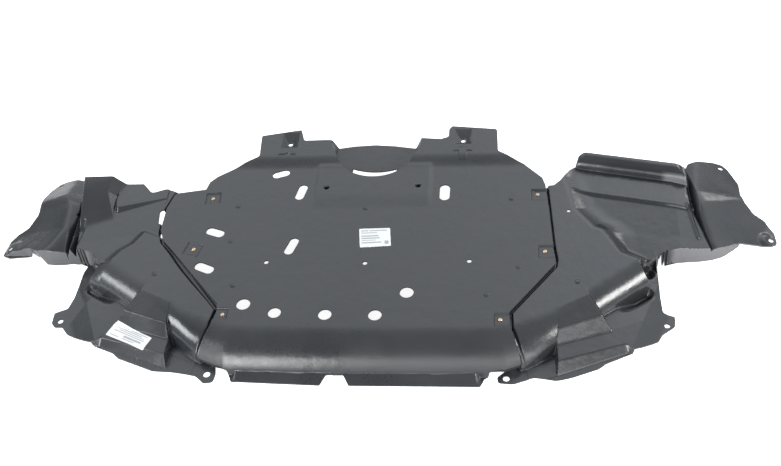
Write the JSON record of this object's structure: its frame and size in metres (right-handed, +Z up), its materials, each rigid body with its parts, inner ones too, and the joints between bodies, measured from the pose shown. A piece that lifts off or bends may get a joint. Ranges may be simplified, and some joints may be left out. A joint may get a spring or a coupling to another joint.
{
  "type": "engine splash shield",
  "caption": "Moulded plastic shield that closes the underside of an engine bay, in riveted panels with a rolled front edge and bolt tabs.",
  "frame": {"origin": "middle of the bounding box, on the floor", "axes": "+X to the shield's right, +Y to its rear, +Z up, the road side"},
  "size_m": [1.5324, 0.6146, 0.0841],
  "materials": {
    "centre_plastic": "moulded dark grey polypropylene, satin gloss",
    "right_plastic": "moulded dark grey polypropylene, satin gloss",
    "left_plastic": "moulded dark grey polypropylene, satin gloss",
    "rivet_metal": "brass-coloured blind rivet",
    "washer_metal": "plain steel washer",
    "label_paper": "white sticker with plain grey bars"
  },
  "bodies": {
    "root": {"centre_panel": "centre_plastic", "right_panel": "right_plastic", "left_panel": "left_plastic", "centre_label": "label_paper", "left_label": "label_paper", "rivet_1": "rivet_metal", "rivet_2": "rivet_metal", "rivet_3": "rivet_metal", "rivet_4": "rivet_metal", "rivet_5": "rivet_metal", "rivet_6": "rivet_metal", "washer_1": "washer_metal", "washer_2": "washer_metal", "washer_3": "washer_metal", "washer_4": "washer_metal", "washer_5": "washer_metal", "washer_6": "washer_metal"}
  },
  "joints": []
}
